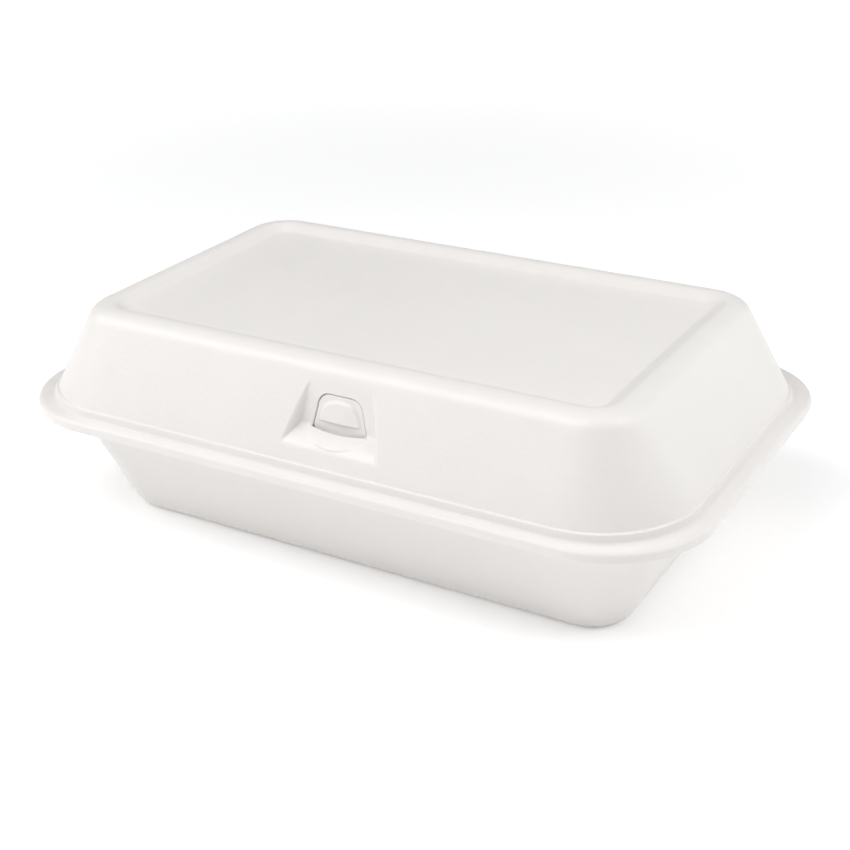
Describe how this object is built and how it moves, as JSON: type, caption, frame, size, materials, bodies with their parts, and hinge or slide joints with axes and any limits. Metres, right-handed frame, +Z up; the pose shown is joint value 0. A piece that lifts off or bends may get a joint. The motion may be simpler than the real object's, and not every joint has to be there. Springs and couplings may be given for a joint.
{
  "type": "foam clamshell container",
  "caption": "Hinged foam food container with a deep tray, a lid with a sunken top panel, a fold along the rear and a lock tab in front.",
  "frame": {"origin": "middle of the tray's flat underside, at the level it rests on", "axes": "+X along the container's length, -Y towards the front with the lock tab, +Y towards the fold, +Z up"},
  "size_m": [0.233, 0.1501, 0.0727],
  "materials": {
    "foam": "matte thermoformed polystyrene foam sheet",
    "pressed_foam": "the same foam pressed thin at the fold, slightly smoother"
  },
  "bodies": {
    "tray": {"base_tray": "foam", "hinge_strip": "pressed_foam"},
    "lid": {"lid": "foam"},
    "lock_tab": {"lock_tab": "foam"}
  },
  "joints": [
    {"name": "lid_hinge", "type": "hinge", "parent": "tray", "child": "lid", "pos_m": [0, 0.075, 0.04], "axis": [-1, 0, 0], "range_deg": [0, 178]},
    {"name": "tab_flex", "type": "hinge", "parent": "tray", "child": "lock_tab", "pos_m": [0.008, -0.0634, 0.0414], "axis": [-1, 0, 0], "range_deg": [0, 12], "stiffness_Nm_per_rad": 0.02}
  ]
}
